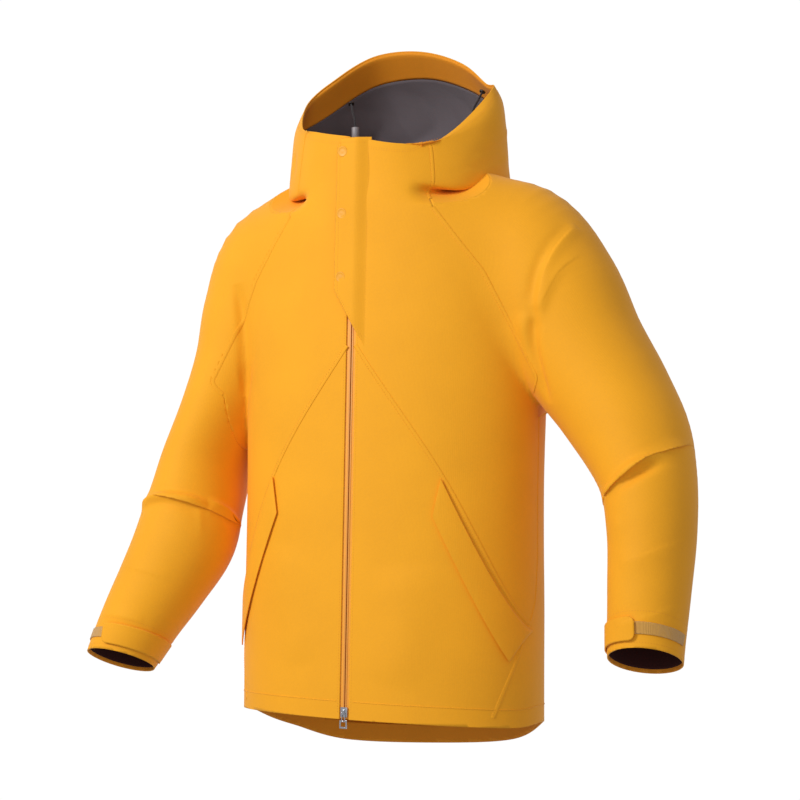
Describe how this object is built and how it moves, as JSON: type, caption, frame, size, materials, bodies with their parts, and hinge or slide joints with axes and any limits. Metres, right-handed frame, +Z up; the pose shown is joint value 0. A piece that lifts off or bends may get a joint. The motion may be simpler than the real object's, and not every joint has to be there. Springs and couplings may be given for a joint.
{
  "type": "hardshell jacket",
  "caption": "Waterproof shell jacket with attached hood, storm flap over a two-way front zip, slanted hand pockets and adjustable cuffs.",
  "frame": {"origin": "middle of the neck base, where the jacket hangs on its wearer", "axes": "+Z up along the wearer's trunk, -Y towards the front, +X towards the wearer's left"},
  "size_m": [0.7965, 0.3429, 0.9589],
  "materials": {
    "shell": "laminated plain weave, matt",
    "facing": "laminated plain weave",
    "lining": "fine knit",
    "pocket_lining": "fine mesh",
    "zip_tape": "laminated tape, satin",
    "zip_coil": "moulded coil",
    "slider": "plated",
    "snap": "plated",
    "snap_cap": "coloured cap",
    "webbing": "woven",
    "loop_strip": "looped pile",
    "hook_strip": "moulded hooks",
    "tab": "laminated, moulded edge",
    "cord": "braided elastic",
    "cord_lock": "moulded",
    "spring": "bare",
    "eyelet": "dark plated"
  },
  "bodies": {
    "torso": {"back_panel": "shell", "hem_facing": "facing", "zip_tapes": "zip_tape", "zip_teeth": "zip_coil", "wind_flap": "facing", "storm_flap_seam": "shell", "snap_studs": "snap", "collar_lining": "lining", "hang_loop": "webbing", "pocket_zip_tapes": "zip_tape", "pocket_zip_coils": "zip_coil", "pocket_bags": "pocket_lining", "left_front_panel": "shell", "left_chest_panel": "shell", "left_side_panel": "shell", "left_shoulder_panel": "shell", "left_collar": "shell", "right_front_panel": "shell", "right_chest_panel": "shell", "right_side_panel": "shell", "right_shoulder_panel": "shell", "right_collar": "shell"},
    "hood": {"hood_centre_panel": "shell", "hood_left_panel": "shell", "hood_right_panel": "shell", "hood_lining": "lining", "hood_facing": "facing", "hood_eyelets": "eyelet", "left_hood_cord": "cord", "left_cord_lock": "cord_lock", "left_cord_lock_spring": "spring", "right_hood_cord": "cord", "right_cord_lock": "cord_lock", "right_cord_lock_spring": "spring"},
    "storm_flap": {"storm_flap": "shell", "snap_caps": "snap_cap"},
    "bottom_slider": {"bottom_slider": "slider"},
    "bottom_pull": {"bottom_slider_pull": "slider"},
    "top_slider": {"top_slider": "slider", "top_slider_pull": "slider"},
    "left_upper_arm": {"left_upper_sleeve": "shell"},
    "left_forearm": {"left_lower_sleeve": "shell", "left_cuff_facing": "facing", "left_loop_strip": "loop_strip"},
    "left_cuff_tab": {"left_cuff_tab": "tab", "left_hook_patch": "hook_strip"},
    "left_pocket_flap": {"left_pocket_flap": "shell"},
    "left_pocket_slider": {"left_pocket_slider": "slider"},
    "left_pocket_pull": {"left_pocket_pull": "slider"},
    "left_cord_button": {"left_cord_lock_button": "cord_lock"},
    "right_upper_arm": {"right_upper_sleeve": "shell"},
    "right_forearm": {"right_lower_sleeve": "shell", "right_cuff_facing": "facing", "right_loop_strip": "loop_strip"},
    "right_cuff_tab": {"right_cuff_tab": "tab", "right_hook_patch": "hook_strip"},
    "right_pocket_flap": {"right_pocket_flap": "shell"},
    "right_pocket_slider": {"right_pocket_slider": "slider"},
    "right_pocket_pull": {"right_pocket_pull": "slider"},
    "right_cord_button": {"right_cord_lock_button": "cord_lock"}
  },
  "joints": [
    {"name": "hood_raise", "type": "hinge", "parent": "torso", "child": "hood", "pos_m": [0, -0.104, 0.066], "axis": [1, 0, 0], "range_deg": [0, 35]},
    {"name": "storm_flap_open", "type": "hinge", "parent": "torso", "child": "storm_flap", "pos_m": [0.02255, -0.13998, -0.36303], "axis": [0, 0.0412, 0.9991], "range_deg": [0, 100]},
    {"name": "bottom_slider_up", "type": "slide", "parent": "torso", "child": "bottom_slider", "axis": [0, 0.0412, 0.9991], "range_m": [0, 0.33]},
    {"name": "bottom_pull_swing", "type": "hinge", "parent": "bottom_slider", "child": "bottom_pull", "pos_m": [0, -0.14843, -0.65393], "axis": [-1, 0, 0], "range_deg": [0, 150]},
    {"name": "top_slider_down", "type": "slide", "parent": "torso", "child": "top_slider", "axis": [0, -0.0412, -0.9991], "range_m": [0, 0.3]},
    {"name": "left_shoulder_raise", "type": "hinge", "parent": "torso", "child": "left_upper_arm", "pos_m": [0.2262, 0, 0.004], "axis": [0, -1, 0], "range_deg": [0, 60]},
    {"name": "left_elbow_bend", "type": "hinge", "parent": "left_upper_arm", "child": "left_forearm", "pos_m": [0.32263, -0.09869, -0.30527], "axis": [-0.8944, 0, -0.4472], "range_deg": [0, 80]},
    {"name": "left_cuff_tab_open", "type": "hinge", "parent": "left_forearm", "child": "left_cuff_tab", "pos_m": [0.32375, -0.05889, -0.57004], "axis": [0.06, -0.4202, -0.9054], "range_deg": [0, 70]},
    {"name": "left_pocket_slider_up", "type": "slide", "parent": "torso", "child": "left_pocket_slider", "axis": [-0.3875, -0.229, 0.893], "range_m": [0, 0.09]},
    {"name": "left_pocket_flap_lift", "type": "hinge", "parent": "torso", "child": "left_pocket_flap", "pos_m": [0.17174, -0.09508, -0.46338], "axis": [-0.3843, -0.3647, 0.8481], "range_deg": [0, 50]},
    {"name": "left_pocket_pull_swing", "type": "hinge", "parent": "left_pocket_slider", "child": "left_pocket_pull", "pos_m": [0.16704, -0.08589, -0.49185], "axis": [-0.7446, -0.4934, -0.4496], "range_deg": [0, 5]},
    {"name": "left_cord_button_press", "type": "slide", "parent": "hood", "child": "left_cord_button", "axis": [0, 0, 1], "range_m": [0, 0.0035], "stiffness_N_per_m": 600, "deforming": ["left_cord_lock_spring"]},
    {"name": "right_shoulder_raise", "type": "hinge", "parent": "torso", "child": "right_upper_arm", "pos_m": [-0.2262, 0, 0.004], "axis": [0, 1, 0], "range_deg": [0, 60]},
    {"name": "right_elbow_bend", "type": "hinge", "parent": "right_upper_arm", "child": "right_forearm", "pos_m": [-0.27065, -0.12434, -0.37065], "axis": [-0.9935, 0, 0.1135], "range_deg": [0, 80]},
    {"name": "right_cuff_tab_open", "type": "hinge", "parent": "right_forearm", "child": "right_cuff_tab", "pos_m": [-0.29409, -0.09693, -0.6066], "axis": [0.06, 0.4202, 0.9054], "range_deg": [0, 70]},
    {"name": "right_pocket_slider_up", "type": "slide", "parent": "torso", "child": "right_pocket_slider", "axis": [0.3875, -0.229, 0.893], "range_m": [0, 0.09]},
    {"name": "right_pocket_flap_lift", "type": "hinge", "parent": "torso", "child": "right_pocket_flap", "pos_m": [-0.17174, -0.09508, -0.46338], "axis": [-0.3843, 0.3647, -0.8481], "range_deg": [0, 50]},
    {"name": "right_pocket_pull_swing", "type": "hinge", "parent": "right_pocket_slider", "child": "right_pocket_pull", "pos_m": [-0.16704, -0.08589, -0.49185], "axis": [-0.7446, 0.4934, 0.4496], "range_deg": [0, 5]},
    {"name": "right_cord_button_press", "type": "slide", "parent": "hood", "child": "right_cord_button", "axis": [0, 0, 1], "range_m": [0, 0.0035], "stiffness_N_per_m": 600, "deforming": ["right_cord_lock_spring"]}
  ]
}
